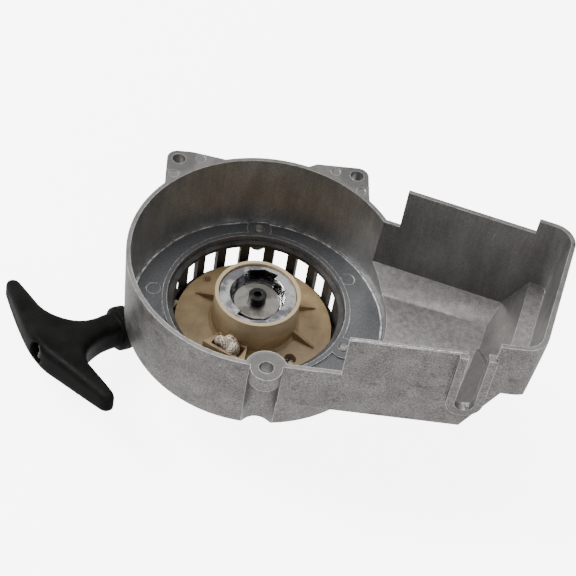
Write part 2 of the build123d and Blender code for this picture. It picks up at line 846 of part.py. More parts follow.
with BuildPart() as handle_grip:
    with BuildSketch(grip_plane):
        with BuildLine():
            outline = grip_outline(1) + [(bar_reach + bar_r, 0.0)] + grip_outline(-1)[::-1]
            corner_radii = [16.0, 4.2, 4.2, 60.0, 4.2, 4.2, 16.0]
            FilletPolyline(*outline, radius=corner_radii)
            Line(outline[-1], outline[0])
        make_face()
    extrude(amount=bar_thick)
    faces = handle_grip.faces().filter_by(lambda face: abs(face.normal_at().dot(grip_up)) > 0.99)
    fillet(faces.edges().filter_by(lambda edge: edge.length > 0.1 and not (
        abs((edge.center() - bend).dot(pull) - neck_start) < 0.1)), bar_edge)
    # neck collar that seats on the case
    with BuildSketch(along_pull(handle_face)):
        Circle(collar_r)
    extrude(amount=collar_len)
    with BuildSketch(along_pull(handle_face - 1)):
        Circle(rope_r + 0.2)
    extrude(amount=handle_face + 60, mode=Mode.SUBTRACT)
    with BuildSketch(along_pull(recess_floor)):
        Circle(knot_recess_r)
    extrude(amount=knot_recess + 5, mode=Mode.SUBTRACT)
finish(handle_grip.part, "handle_grip")

with BuildPart() as knot_washer:
    with BuildSketch(along_pull(recess_floor)):
        Circle(knot_recess_r - 0.3)
        Circle(rope_r + 0.2, mode=Mode.SUBTRACT)
    extrude(amount=0.8)
finish(knot_washer.part, "handle_knot_washer")

with BuildPart() as rope_tail:
    with BuildSketch(along_pull(handle_face)):
        Circle(rope_r)
    extrude(amount=recess_floor + 0.8 - handle_face)
finish(rope_tail.part, "rope_tail")

with BuildPart() as handle_knot:
    with Locations(Location(bend + pull * (recess_floor + 0.8 + knot_r))):
        Sphere(knot_r)
finish(handle_knot.part, "handle_knot")

# ---- measures for the record ----------------------------------------------------------------
coil_length = sum(edge.length for edge in coil_line.edges())
lead_length = bend_at + bar_reach
print(f"rope: coil {coil_length:.0f}, pulley to handle {lead_length:.0f}")
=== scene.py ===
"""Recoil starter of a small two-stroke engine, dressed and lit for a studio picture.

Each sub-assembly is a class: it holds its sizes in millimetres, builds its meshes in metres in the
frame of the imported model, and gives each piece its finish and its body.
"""

import logging
import math
from dataclasses import dataclass
from enum import Enum
from typing import Any, Sequence

import bmesh
import bpy
from mathutils import Matrix, Vector


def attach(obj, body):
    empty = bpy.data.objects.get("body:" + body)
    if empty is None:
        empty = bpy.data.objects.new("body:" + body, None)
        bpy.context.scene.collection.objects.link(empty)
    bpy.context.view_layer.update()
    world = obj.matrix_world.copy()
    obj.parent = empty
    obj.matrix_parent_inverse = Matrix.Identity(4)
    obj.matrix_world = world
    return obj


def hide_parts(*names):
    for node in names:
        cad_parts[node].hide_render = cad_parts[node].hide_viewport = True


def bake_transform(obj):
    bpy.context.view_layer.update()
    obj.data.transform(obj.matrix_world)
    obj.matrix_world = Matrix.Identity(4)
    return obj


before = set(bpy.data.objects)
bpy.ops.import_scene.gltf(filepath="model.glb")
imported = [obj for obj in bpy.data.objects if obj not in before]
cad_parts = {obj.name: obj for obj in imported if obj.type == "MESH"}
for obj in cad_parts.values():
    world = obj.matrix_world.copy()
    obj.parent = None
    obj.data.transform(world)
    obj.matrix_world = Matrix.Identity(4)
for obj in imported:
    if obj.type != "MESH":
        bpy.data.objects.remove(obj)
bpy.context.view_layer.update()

log = logging.getLogger("starter")
MM = 0.001
CAST_CREASE = 34.0
MERGE = 0.002
FLAT_ANGLE = 0.6
BROKEN_ANGLE = 40.0
Colour = tuple[float, float, float]
Socket = bpy.types.NodeSocket
Piece = bpy.types.Object
Material = bpy.types.Material


class Body(Enum):
    """The bodies that the pieces ride on."""

    CASE = "case"
    PULLEY = "pulley"
    HANDLE = "handle"


class Slot(Enum):
    """The record's material slots."""

    CASTING = "cast_aluminium"
    DISH = "case_aluminium"
    ZINC = "zinc_steel"
    CUP = "bright_cup"
    BLACK_SCREW = "black_screw"
    SPRING = "spring_steel"
    BRONZE = "bronze"
    TAN = "tan_plastic"
    BLACK = "black_plastic"
    ROPE = "rope"


# ---- node graphs ----


class Graph:
    """A node tree with short ways to put, set and link nodes."""

    def __init__(self, tree: bpy.types.NodeTree) -> None:
        """Starts from an empty tree.

        Args:
            tree: the tree to fill.
        """
        self.tree = tree
        tree.nodes.clear()

    def put(self, kind: str, inputs: dict[Any, Any] | None = None, **settings: Any) -> bpy.types.Node:
        """Adds a node.

        Args:
            kind: the node's Blender type.
            inputs: input name or index to a constant, or to a socket that is linked to it.
            settings: the node's own properties.

        Returns:
            The new node.
        """
        node = self.tree.nodes.new(kind)
        for key, value in settings.items():
            setattr(node, key, value)
        for key, value in (inputs or {}).items():
            if isinstance(value, Socket):
                self.tree.links.new(value, node.inputs[key])
            else:
                node.inputs[key].default_value = value
        return node

    def math(self, operation: str, *values: Any) -> Socket:
        """A Math node's result.

        Args:
            operation: the operation's name.
            values: up to three numbers or sockets.

        Returns:
            The value socket.
        """
        return self.put("ShaderNodeMath", dict(enumerate(values)), operation=operation).outputs[0]

    def times(self, first: Any, second: Any) -> Socket:
        """Multiplies two values.

        Args:
            first: a number or socket.
            second: a number or socket.

        Returns:
            The product.
        """
        return self.math("MULTIPLY", first, second)

    def vector(self, operation: str, *values: Any) -> bpy.types.Node:
        """A Vector Math node.

        Args:
            operation: the operation's name.
            values: its vectors or sockets, in order.

        Returns:
            The node.
        """
        return self.put("ShaderNodeVectorMath", dict(enumerate(values)), operation=operation)

    def span(self, value: Any, low: float, high: float, to_low: float = 0.0, to_high: float = 1.0) -> Socket:
        """Maps a value from one span to another, smoothly and clamped.

        Args:
            value: the socket to map.
            low: start of the span.
            high: end of the span.
            to_low: what low becomes.
            to_high: what high becomes.

        Returns:
            The mapped value.
        """
        inputs = {"Value": value, "From Min": low, "From Max": high, "To Min": to_low, "To Max": to_high}
        node = self.put("ShaderNodeMapRange", inputs, interpolation_type="SMOOTHSTEP")
        return node.outputs["Result"]


class Shade(Graph):
    """A material's node tree, read in the piece's own coordinates."""

    usual: tuple[float, float] = (0.3, 0.7)

    def __init__(self, name: str) -> None:
        """Makes the material with its shader.

        Args:
            name: the material's name.
        """
        self.material = bpy.data.materials.new(name)
        self.material.use_nodes = True
        super().__init__(self.material.node_tree)
        self.shader = self.put("ShaderNodeBsdfPrincipled")
        self.put("ShaderNodeOutputMaterial", {"Surface": self.shader.outputs[0]})
        self.place = self.put("ShaderNodeTexCoord").outputs["Object"]
        self.normal = self.put("ShaderNodeNewGeometry").outputs["Normal"]

    def axis(self, socket: Socket, name: str) -> Socket:
        """One component of a vector socket.

        Args:
            socket: the vector.
            name: X, Y or Z.

        Returns:
            The component.
        """
        return self.put("ShaderNodeSeparateXYZ", {0: socket}).outputs[name]

    def noise(self, size: float, detail: float = 3.0, stretch: Colour = (1, 1, 1), shift: float = 0.0) -> Socket:
        """Noise of a given feature size.

        Args:
            size: feature size in millimetres.
            detail: octaves.
            stretch: how much finer the noise is along each axis.
            shift: an offset that makes this noise different from others.

        Returns:
            The noise's value, about 0.5.
        """
        scale = tuple(part / (size * MM) for part in stretch)
        moved = self.vector("MULTIPLY_ADD", self.place, scale, (shift, shift, shift)).outputs[0]
        inputs = {"Vector": moved, "Scale": 1.0, "Detail": detail, "Roughness": 0.55}
        return self.put("ShaderNodeTexNoise", inputs).outputs["Fac"]

    def spread(self, noise: Socket, low: float = 0.0, high: float = 1.0) -> Socket:
        """Spreads a noise's usual range over a span.

        Args:
            noise: the noise.
            low: what its troughs become.
            high: what its crests become.

        Returns:
            The mapped value.
        """
        return self.span(noise, *self.usual, low, high)

    def mix(self, factor: Any, first: Any, second: Any, kind: str = "MIX") -> Socket:
        """Mixes two colours.

        Args:
            factor: 0 for the first, 1 for the second.
            first: a colour or socket.
            second: a colour or socket.
            kind: the blend type.

        Returns:
            The colour socket.
        """
        inputs = {0: factor}
        for index, value in ((6, first), (7, second)):
            inputs[index] = value if isinstance(value, Socket) else (*value, 1.0)
        node = self.put("ShaderNodeMix", inputs, data_type="RGBA", blend_type=kind)
        return node.outputs[2]

    def dim(self, colour: Any, factor: Socket) -> Socket:
        """Scales a colour's brightness.

        Args:
            colour: the colour.
            factor: what it is multiplied by.

        Returns:
            The colour socket.
        """
        grey = self.put("ShaderNodeCombineColor", {part: factor for part in range(3)}).outputs[0]
        return self.mix(1.0, colour, grey, "MULTIPLY")

    def finish(
        self, colour: Any, rough: Any, metallic: float, height: Any, depth: float, strength: float = 1.0
    ) -> Material:
        """Sets the shader and its bump.

        Args:
            colour: the base colour's socket.
            rough: the roughness socket.
            metallic: how metallic it is.
            height: the bump's height, 0 to 1.
            depth: the bump's depth in millimetres.
            strength: the bump's strength.

        Returns:
            The finished material.
        """
        bump = self.put("ShaderNodeBump", {"Strength": strength, "Distance": depth * MM, "Height": height})
        self.tree.links.new(colour, self.shader.inputs["Base Color"])
        self.tree.links.new(rough, self.shader.inputs["Roughness"])
        self.tree.links.new(bump.outputs[0], self.shader.inputs["Normal"])
        self.shader.inputs["Metallic"].default_value = metallic
        return self.material


# ---- finishes ----


@dataclass(frozen=True)
class SurfaceFinish:
    """A moulded, plated or ground surface: two tones, fine grain, dirt, scuffs and bump."""

    name: str
    dark: Colour
    light: Colour
    metallic: float
    rough: tuple[float, float]
    cloud: float = 9.0
    grain: float = 0.35
    depth: float = 0.03
    dirt: Colour = (0.05, 0.045, 0.04)
    dirty: float = 0.25
    stretch: Colour = (1.0, 1.0, 1.0)
    gloss: float = 0.5
    stain_size: float = 4.2
    scuff_size: float = 1.8

    def material(self) -> Material:
        """Builds the finish.

        Returns:
            The material.
        """
        shade = Shade(self.name)
        cloud = shade.noise(self.cloud, 4.0)
        grain = shade.noise(self.grain, 2.0, self.stretch, 3.1)
        tone = shade.mix(shade.spread(cloud), self.dark, self.light)
        fine = shade.spread(grain, 0.82, 1.12)
        tone = shade.dim(tone, fine)
        stain = shade.times(shade.span(shade.noise(self.stain_size, 6.0, shift=7.7), 0.56, 0.72), self.dirty)
        tone = shade.mix(stain, tone, self.dirt)
        scuff = shade.span(shade.noise(self.scuff_size, 5.0, (1, 4, 1), 11.0), 0.6, 0.68)
        rough = shade.spread(cloud, *self.rough)
        rough = shade.math("MULTIPLY_ADD", scuff, 0.12, rough)
        shade.shader.inputs["Specular IOR Level"].default_value = self.gloss
        height = shade.math("MULTIPLY_ADD", scuff, -0.3, grain)
        return shade.finish(tone, rough, self.metallic, height, self.depth)


@dataclass(frozen=True)
class CastingFinish:
    """Die-cast aluminium: grainy outside, drawn smooth inside, with edges bright from wear and painted highlight,
    and painted light and shade by which way faces point.
    """

    name: str = "die-cast aluminium"
    outside: Colour = (0.250, 0.238, 0.230)
    outside_dark: Colour = (0.165, 0.156, 0.150)
    # painted shade: a darker tone for the rims' flat tops, which face the lights
    shaded_top: Colour = (0.115, 0.111, 0.108)
    inside: Colour = (0.33, 0.325, 0.322)
    inside_dark: Colour = (0.215, 0.210, 0.208)
    # painted light: lighter tones for the floors and shelves that face up
    lit_shelf: Colour = (0.29, 0.278, 0.266)
    lit_shelf_dark: Colour = (0.205, 0.197, 0.190)
    # the bell's floor: painted shade over its own bluish grey
    ring: Colour = (0.105, 0.108, 0.112)
    # bright metal for the ticks and wear, and painted highlight on the floor line, rims and edges
    bright: Colour = (0.74, 0.73, 0.71)
    smudge: Colour = (0.03, 0.027, 0.025)
    bell: Colour = (0.4, -6.2, 0.0)
    line_r: float = 51.2
    ring_top: float = 30.0
    ring_reach: float = 50.0
    rim_low: float = 62.4
    # width of the bright edge band: wear and painted highlight
    worn_and_highlit_edge: float = 0.55
    heart: Colour = (30.0, -14.0, 60.0)
    ears: tuple[Colour, ...] = ((-36.4, 42.7, 63.0), (36.4, 42.7, 63.0), (1.5, -60.8, 63.0))
    grain_size: float = 0.6
    cloud_size: float = 9.0
    streak_size: float = 0.9
    mottle_size: float = 2.4
    metallic: float = 0.78
    rough: tuple[float, float] = (0.40, 0.52)
    depth: float = 0.05

    def material(self) -> Material:
        """Builds the finish.

        Returns:
            The material.
        """
        shade = Shade(self.name)
        height_z = shade.axis(shade.place, "Z")
        facing_up = shade.axis(shade.normal, "Z")
        inward = shade.vector("SUBTRACT", tuple(part * MM for part in self.heart), shade.place).outputs[0]
        inward = shade.vector("MULTIPLY", inward, (1, 1, 0)).outputs[0]
        inward = shade.vector("NORMALIZE", inward).outputs[0]
        inside = shade.span(shade.vector("DOT_PRODUCT", inward, shade.normal).outputs["Value"], 0.0, 0.12)
        grain = shade.noise(self.grain_size, 4.0)
        cloud = shade.noise(self.cloud_size, 7.0, shift=2.0)
        streak = shade.noise(self.streak_size, 5.0, (1, 1, 0.07), 4.0)
        outer = shade.mix(shade.span(cloud, 0.32, 0.68), self.outside_dark, self.outside)
        drawn = shade.noise(self.cloud_size, 4.0, (1, 1, 0.4), 6.0)
        drawn = shade.math("MULTIPLY_ADD", drawn, 0.7, shade.times(streak, 0.3))
        inner = shade.mix(shade.span(drawn, 0.28, 0.72), self.inside_dark, self.inside)
        tone = shade.mix(inside, outer, inner)
        # floors and shelves that face up are lighter than the walls, as painted light, and the rims' flat tops are
        # darker, as painted shade
        level = shade.span(facing_up, 0.2, 0.6)
        mottle = shade.noise(self.mottle_size, 6.0, shift=9.0)
        lit_shelf = shade.mix(shade.spread(mottle), self.lit_shelf_dark, self.lit_shelf)
        high = shade.span(height_z, (self.rim_low - 6.0) * MM, (self.rim_low - 4.0) * MM)
        tone = shade.mix(level, tone, shade.mix(high, lit_shelf, self.shaded_top))
        # the bell's floor and the small pins that stand on it are darker and bluer: painted shade at the bottom of
        # the deep bell, over the floor's own bluish grey
        flat = shade.vector("MULTIPLY", shade.place, (1, 1, 0)).outputs[0]
        centre = tuple(part * MM for part in self.bell)
        reach = shade.vector("DISTANCE", flat, centre).outputs["Value"]
        within = shade.span(reach, (self.ring_reach + 1.0) * MM, self.ring_reach * MM)
        near = shade.times(within, shade.span(height_z, (self.ring_top + 6.0) * MM, (self.ring_top + 5.0) * MM))
        floor = shade.span(height_z, self.ring_top * MM, (self.ring_top - 0.6) * MM)
        under = shade.math("MAXIMUM", near, floor)
        low = shade.times(level, under)
        tone = shade.mix(low, tone, self.ring)
        # the thin bright line where floor and wall of the bell meet: a painted highlight, partly bare deburred metal
        # painted highlight along the floor's edge, partly bare metal
        wander = shade.math("MULTIPLY_ADD", shade.noise(14.0, 2.0, shift=17.0), 1.4 * MM, reach)
        offset = shade.math("ABSOLUTE", shade.math("SUBTRACT", wander, self.line_r * MM))
        line = shade.times(shade.span(offset, 0.55 * MM, 0.2 * MM), low)
        line = shade.times(line, shade.span(shade.noise(4.0, 4.0, shift=19.0), 0.4, 0.6, 0.25, 1.0))
        tone = shade.mix(line, tone, self.bright)
        # grain, pits and smudges
        tick = shade.span(shade.noise(1.5, 2.0, (1, 1, 0.13), 27.0), 0.70, 0.76, 0.0, 0.25)
        tone = shade.mix(shade.times(tick, inside), tone, self.bright)
        coarse = shade.math("MULTIPLY_ADD", shade.math("MAXIMUM", inside, level), -0.55, 1.0)
        fine = shade.times(shade.span(grain, 0.28, 0.72, -0.42, 0.42), coarse)
        fine = shade.math("ADD", fine, 1.0)
        tone = shade.dim(tone, fine)
        smudge = shade.span(shade.noise(6.5, 7.0, (1, 1, 1.5), 21.0), 0.58, 0.70)
        upright = shade.span(facing_up, 0.4, 0.1)
        upright = shade.times(upright, shade.math("MULTIPLY_ADD", inside, -0.85, 1.0))
        tone = shade.mix(shade.times(shade.times(smudge, upright), 0.4), tone, self.smudge)
        # the rims' flat tops above the mounting plane are brightened a little, less so on the ears: rubbed metal and
        # painted highlight
        ragged = shade.math("MULTIPLY_ADD", shade.noise(1.3, 4.0, shift=5.0), 0.5 * MM, height_z)
        top = shade.span(ragged, self.rim_low * MM, (self.rim_low + 0.4) * MM)
        rim = shade.times(top, shade.span(facing_up, 0.85, 0.97))
        rim = shade.times(rim, shade.span(shade.noise(3.0, 5.0, shift=13.0), 0.3, 0.55, 0.45, 1.0))
        for ear in self.ears:
            away = shade.vector("DISTANCE", shade.place, tuple(part * MM for part in ear)).outputs["Value"]
            rim = shade.times(rim, shade.span(away, 6.0 * MM, 8.5 * MM, 0.25, 1.0))
        tone = shade.mix(shade.times(rim, 0.15), tone, self.bright)
        # every sharp edge is brightened, here more, there less: bare metal worn through and painted highlight
        rounded = shade.put("ShaderNodeBevel", {"Radius": self.worn_and_highlit_edge * MM}, samples=6)
        edge = shade.vector("DOT_PRODUCT", rounded.outputs[0], shade.normal).outputs["Value"]
        worn = shade.span(shade.noise(2.2, 5.0, shift=37.0), 0.36, 0.6, 0.3, 1.0)
        edge = shade.times(shade.span(edge, 0.985, 0.86), worn)
        tone = shade.mix(shade.times(edge, 0.9), tone, self.bright)
        rough = shade.spread(cloud, *self.rough)
        rough = shade.math("MULTIPLY_ADD", shade.math("MAXIMUM", rim, edge), -0.12, rough)
        rough = shade.math("MULTIPLY_ADD", inside, -0.08, rough)
        pits = shade.span(shade.noise(0.9, 3.0, shift=31.0), 0.62, 0.7)
        relief = shade.math("MULTIPLY_ADD", pits, -0.5, grain)
        relief = shade.math("MULTIPLY_ADD", streak, shade.times(inside, 0.15), relief)
        return shade.finish(tone, rough, self.metallic, relief, self.depth, 0.7)


@dataclass(frozen=True)
class TurnedFinish:
    """Bright metal turned on a lathe: fine rings about an axis, with bright and dark arcs painted as reflections."""

    name: str
    dark: Colour
    light: Colour
    rough: float
    pitch: float = 0.25
    # turn of the painted reflection arcs
    reflection_phase: float = 0.6

    def material(self) -> Material:
        """Builds the finish.

        Returns:
            The material.
        """
        shade = Shade(self.name)
        flat = shade.vector("MULTIPLY", shade.place, (1, 1, 0)).outputs[0]
        radius = shade.vector("LENGTH", flat).outputs["Value"]
        rings = shade.math("SINE", shade.times(radius, math.tau / (self.pitch * MM)))
        turn = shade.math("ARCTAN2", shade.axis(flat, "Y"), shade.axis(flat, "X"))
        # two bright and two dark arcs round the axis: a painted reflection on the turned metal
        reflection_arcs = shade.math("SINE", shade.math("MULTIPLY_ADD", turn, 2.0, self.reflection_phase))
        cloud = shade.math("MULTIPLY_ADD", reflection_arcs, 0.11, shade.noise(5.0, 3.0))
        tone = shade.mix(shade.span(cloud, 0.40, 0.62), self.dark, self.light)
        tone = shade.mix(shade.span(shade.noise(2.4, 3.0, shift=4.0), 0.6, 0.75, 0.0, 0.3), tone, (0.12, 0.11, 0.09))
        rough = shade.spread(shade.noise(3.0, 2.0, shift=8.0), self.rough, self.rough + 0.1)
        face = shade.span(shade.math("ABSOLUTE", shade.axis(shade.normal, "Z")), 0.6, 0.9)
        return shade.finish(tone, rough, 1.0, shade.times(rings, face), 0.004, 0.3)


@dataclass(frozen=True)
class PulleyFinish:
    """Glass-filled tan moulding: mottled flow marks, a hub paler towards its top and a few stains."""

    name: str = "tan glass-filled moulding"
    dark: Colour = (0.262, 0.178, 0.086)
    light: Colour = (0.368, 0.262, 0.138)
    worn: Colour = (0.49, 0.385, 0.235)
    stain: Colour = (0.10, 0.035, 0.02)
    hub_z: float = 31.0
    stain_at: Colour = (-20.0, 21.0, 16.0)

    def material(self) -> Material:
        """Builds the finish.

        Returns:
            The material.
        """
        shade = Shade(self.name)
        flow = shade.noise(7.0, 6.0, (1, 1, 2.5))
        fleck = shade.noise(0.5, 3.0, shift=5.0)
        tone = shade.mix(shade.spread(flow), self.dark, self.light)
        tone = shade.mix(shade.span(fleck, 0.58, 0.72, 0.0, 0.35), tone, self.worn)
        height_z = shade.axis(shade.place, "Z")
        # the hub is paler towards its top
        hub = shade.span(height_z, (self.hub_z - 6) * MM, (self.hub_z + 3) * MM, 0.0, 0.75)
        tone = shade.mix(hub, tone, self.worn)
        dust = shade.span(shade.noise(3.0, 6.0, shift=15.0), 0.58, 0.75, 0.0, 0.3)
        tone = shade.mix(dust, tone, (0.13, 0.09, 0.05))
        centre = tuple(part * MM for part in self.stain_at)
        away = shade.vector("DISTANCE", shade.place, centre).outputs["Value"]
        spot = shade.times(shade.span(away, 2.6 * MM, 0.8 * MM), shade.span(fleck, 0.35, 0.5))
        tone = shade.mix(spot, tone, self.stain)
        rough = shade.spread(flow, 0.42, 0.56)
        relief = shade.math("MULTIPLY_ADD", flow, 0.8, fleck)
        return shade.finish(tone, rough, 0.0, relief, 0.03, 0.8)


@dataclass(frozen=True)
class RopeFinish:
    """Cream braided cord with brown flecks in some strands, and painted shade between the strands."""

    name: str = "braided starter cord"
    valley_shade: Colour = (0.16, 0.11, 0.07)
    strand: Colour = (0.88, 0.80, 0.65)
    fleck: Colour = (0.30, 0.17, 0.09)

    def material(self) -> Material:
        """Builds the finish.

        Returns:
            The material.
        """
        shade = Shade(self.name)
        lay = shade.put("ShaderNodeAttribute", attribute_name="braid").outputs["Fac"]
        fibre = shade.noise(0.22, 2.0, (1, 1, 3))
        # the valleys between strands are darkened as painted shade
        tone = shade.mix(shade.span(lay, 0.2, 0.75), self.valley_shade, self.strand)
        tone = shade.mix(shade.span(shade.noise(1.5, 3.0, shift=6.0), 0.56, 0.62, 0.0, 0.8), tone, self.fleck)
        rough = shade.spread(fibre, 0.75, 0.95)
        material = shade.finish(tone, rough, 0.0, fibre, 0.05)
        shade.shader.inputs["Sheen Weight"].default_value = 0.25
        return material


@dataclass(frozen=True)
class FloorFinish:
    """Seamless pale paper."""

    name: str = "pale studio floor"
    glow: float = 6.0

    def material(self) -> Material:
        """Builds the finish.

        Returns:
            The material.
        """
        shade = Shade(self.name)
        fibre = shade.noise(1.5, 2.0)
        tone = shade.mix(shade.spread(shade.noise(60.0, 2.0)), (0.93, 0.93, 0.93), (0.95, 0.95, 0.95))
        shade.shader.inputs["Emission Color"].default_value = (1.0, 1.0, 1.0, 1.0)
        shade.shader.inputs["Emission Strength"].default_value = self.glow
        return shade.finish(tone, shade.spread(fibre, 0.8, 0.9), 0.0, fibre, 0.01)


class Finishes:
    """Every finish of the object, made once."""

    def __init__(self) -> None:
        """Makes the materials."""
        self.casting = CastingFinish().material()
        self.flash = SurfaceFinish(
            "bright casting flash", (0.55, 0.54, 0.52), (0.85, 0.84, 0.82), 0.9, (0.3, 0.45), 1.5, 0.2,
        ).material()
        # the aluminium case under the shroud is coloured near black as painted shade
        self.dish = SurfaceFinish(
            "starter case in painted shade", (0.034, 0.033, 0.031), (0.080, 0.078, 0.073), 0.7, (0.4, 0.55), 8.0, 0.4, 0.05,
        ).material()
        self.zinc = SurfaceFinish(
            "zinc plate", (0.20, 0.20, 0.185), (0.36, 0.36, 0.33), 0.95, (0.28, 0.42), 3.0, 0.25, 0.01,
            dirty=0.4,
        ).material()
        self.cup = TurnedFinish("bright turned cup", (0.24, 0.24, 0.25), (0.66, 0.66, 0.67), 0.1).material()
        self.washer = TurnedFinish(
            "satin zinc washer", (0.13, 0.125, 0.11), (0.25, 0.24, 0.22), 0.28, 0.4, 2.4,
        ).material()
        self.black_screw = SurfaceFinish(
            "black oxide", (0.012, 0.012, 0.013), (0.035, 0.033, 0.032), 0.8, (0.3, 0.45), 2.0, 0.2, 0.01,
            (0.1, 0.06, 0.03), 0.3,
        ).material()
        self.spring = SurfaceFinish(
            "blued spring strip", (0.09, 0.10, 0.13), (0.2, 0.21, 0.24), 1.0, (0.22, 0.4), 5.0, 0.3, 0.01
        ).material()
        self.bronze = SurfaceFinish(
            "sintered bronze", (0.33, 0.2, 0.08), (0.5, 0.34, 0.15), 0.9, (0.35, 0.5), 2.0, 0.2, 0.02
        ).material()
        self.pulley = PulleyFinish().material()
        self.grip = SurfaceFinish(
            "black moulded grip", (0.0045, 0.0045, 0.0042), (0.009, 0.009, 0.0085), 0.0, (0.40, 0.6),
            12.0, 0.5, 0.05, (0.010, 0.010, 0.009), 0.6, gloss=0.06,
        ).material()
        self.rope = RopeFinish().material()
        # near-black cord for the knot deep in the handle: painted shade
        self.rope_in_painted_shade = RopeFinish(
            "starter cord in painted shade", (0.01, 0.008, 0.006), (0.07, 0.06, 0.05), (0.03, 0.02, 0.015),
        ).material()
        self.floor = FloorFinish().material()


# ---- meshes ----


def stand(name: str, data: Any) -> Piece:
    """Adds an object to the scene.

    Args:
        name: its name.
        data: its mesh, light or camera.

    Returns:
        The object.
    """
    obj = bpy.data.objects.new(name, data)
    bpy.context.scene.collection.objects.link(obj)
    return obj


def settle(obj: Piece) -> Piece:
    """Turns an object's modifiers into its plain mesh.

    Args:
        obj: the object with modifiers.

    Returns:
        The same object with a plain mesh and no modifiers.
    """
    depsgraph = bpy.context.evaluated_depsgraph_get()
    mesh = bpy.data.meshes.new_from_object(
        obj.evaluated_get(depsgraph), preserve_all_data_layers=True, depsgraph=depsgraph
    )
    obj.modifiers.clear()
    obj.data = mesh
    return obj


def skin(node: str, name: str, material: Material, crease: float = 32.0, edge: float = 0.0) -> Piece:
    """A cleaned copy of a CAD piece's surface, shaded smooth between its edges.

    Args:
        node: the CAD node.
        name: the new piece's name.
        material: its finish.
        crease: edges sharper than this angle stay sharp, in degrees.
        edge: width of the small broken edge, or 0 for none.

    Returns:
        The new piece.
    """
    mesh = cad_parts[node].data.copy()
    for stored in ("custom_normal", "sharp_edge", "sharp_face"):
        if stored in mesh.attributes:
            mesh.attributes.remove(mesh.attributes[stored])
    work = bmesh.new()
    work.from_mesh(mesh)
    bmesh.ops.remove_doubles(work, verts=work.verts, dist=MERGE * MM)
    if edge:
        bmesh.ops.dissolve_limit(work, angle_limit=math.radians(FLAT_ANGLE), verts=work.verts, edges=work.edges)
    work.to_mesh(mesh)
    work.free()
    mesh.polygons.foreach_set("use_smooth", [True] * len(mesh.polygons))
    mesh.set_sharp_from_angle(angle=math.radians(crease))
    mesh.materials.clear()
    mesh.materials.append(material)
    obj = stand(name, mesh)
    if edge:
        bevel = obj.modifiers.new("broken edge", "BEVEL")
        bevel.width = edge * MM
        bevel.segments = 2
        bevel.limit_method = "ANGLE"
        bevel.angle_limit = math.radians(BROKEN_ANGLE)
    even = obj.modifiers.new("even shading", "WEIGHTED_NORMAL")
    even.keep_sharp = True
    even.weight = 100
    return settle(obj)


def path_mesh(name: str, points: Sequence[Vector]) -> bpy.types.Mesh:
    """A chain of edges through points.

    Args:
        name: the mesh's name.
        points: the points.

    Returns:
        The mesh.
    """
    mesh = bpy.data.meshes.new(name)
    links = [(first, first + 1) for first in range(len(points) - 1)]
    mesh.from_pydata([tuple(point) for point in points], links, [])
    return mesh


class Growth(Graph):
    """A Geometry Nodes tree with named inputs, and its use on a base mesh."""

    def __init__(self, name: str, inputs: dict[str, str]) -> None:
        """Makes an empty tree with its interface, which ends in a Material.

        Args:
            name: the tree's name.
            inputs: input name to socket kind, after the geometry.
        """
        super().__init__(bpy.data.node_groups.new(name, "GeometryNodeTree"))
        face = self.tree.interface
        face.new_socket("Geometry", in_out="INPUT", socket_type="NodeSocketGeometry")
        self.keys = {
            label: face.new_socket(label, in_out="INPUT", socket_type=f"NodeSocket{kind}").identifier
            for label, kind in (inputs | {"Material": "Material"}).items()
        }
        face.new_socket("Geometry", in_out="OUTPUT", socket_type="NodeSocketGeometry")
        self.given = self.put("NodeGroupInput").outputs

    def close(self, geometry: Socket, smooth: bool = True) -> None:
        """Ends the tree in realised instances, shading and material.

        Args:
            geometry: the last geometry socket.
            smooth: whether the faces are shaded smooth.
        """
        real = self.put("GeometryNodeRealizeInstances", {"Geometry": geometry})
        shaded = self.put("GeometryNodeSetShadeSmooth", {"Geometry": real.outputs[0], "Shade Smooth": smooth})
        dressed = {"Geometry": shaded.outputs[0], "Material": self.given["Material"]}
        done = self.put("GeometryNodeSetMaterial", dressed)
        self.put("NodeGroupOutput", {0: done.outputs[0]})

    def grow(self, name: str, base: bpy.types.Mesh, values: dict[str, Any]) -> Piece:
        """Runs the tree on a base mesh.

        Args:
            name: the new piece's name.
            base: the mesh it grows from.
            values: input name to value.

        Returns:
            The piece as a plain mesh.
        """
        obj = stand(name, base)
        modifier = obj.modifiers.new(self.tree.name, "NODES")
        modifier.node_group = self.tree
        for label, value in values.items():
            modifier[self.keys[label]] = value
        return settle(obj)


